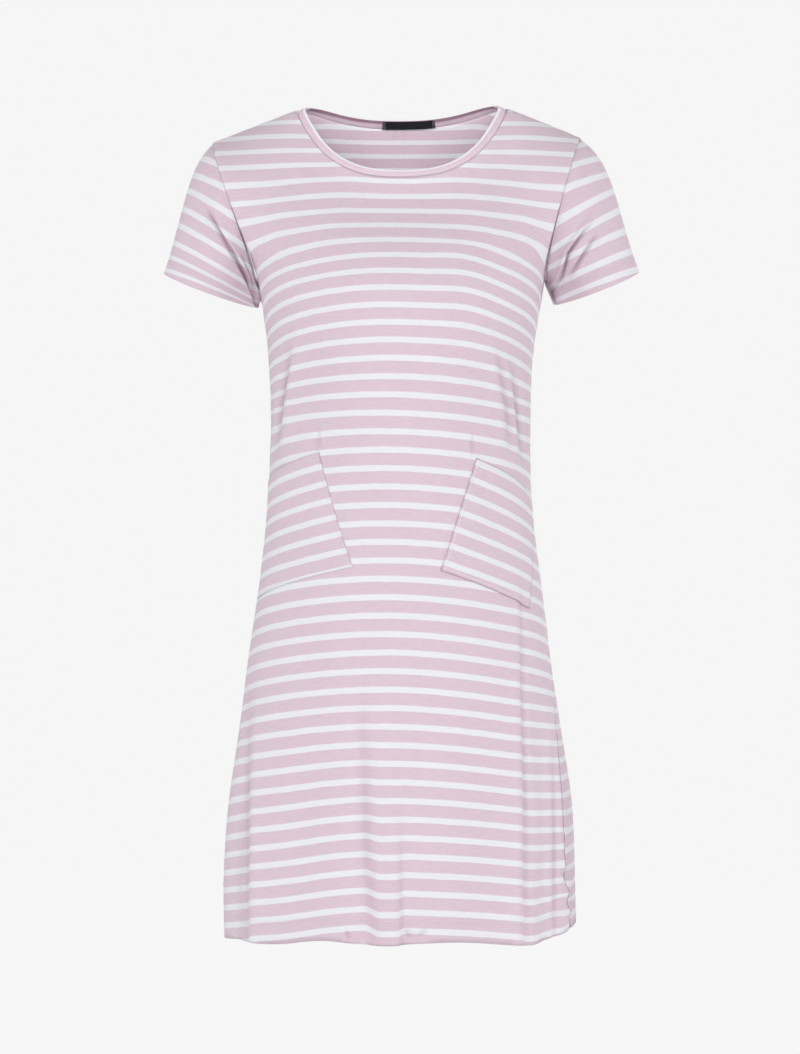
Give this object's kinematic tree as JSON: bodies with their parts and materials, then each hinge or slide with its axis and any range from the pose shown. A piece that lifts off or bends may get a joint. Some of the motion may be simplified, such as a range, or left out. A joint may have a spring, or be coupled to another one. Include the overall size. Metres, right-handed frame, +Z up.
{
  "type": "t-shirt dress",
  "caption": "Short-sleeved A-line jersey t-shirt dress with a wide round neck and slanted patch pockets, hollow, in its worn form, pale pink with narrow white stripes.",
  "frame": {"origin": "midway between the two points where the shoulder seams meet the neckline, where the dress hangs from the wearer's shoulders", "axes": "+Z up, away from the hem; the front of the dress faces -Y; +X is the wearer's left"},
  "size_m": [0.4988, 0.2864, 0.8721],
  "materials": {
    "front": "matte",
    "back": "matte",
    "sleeve_right": "matte",
    "sleeve_left": "matte",
    "neck_binding": "matte",
    "pocket_right": "matte",
    "pocket_left": "matte",
    "neck_label": "satin"
  },
  "bodies": {
    "root": {"front": "front", "back": "back", "sleeve_right": "sleeve_right", "sleeve_left": "sleeve_left", "neck_binding": "neck_binding", "pocket_right": "pocket_right", "pocket_left": "pocket_left", "neck_label": "neck_label"}
  },
  "joints": []
}
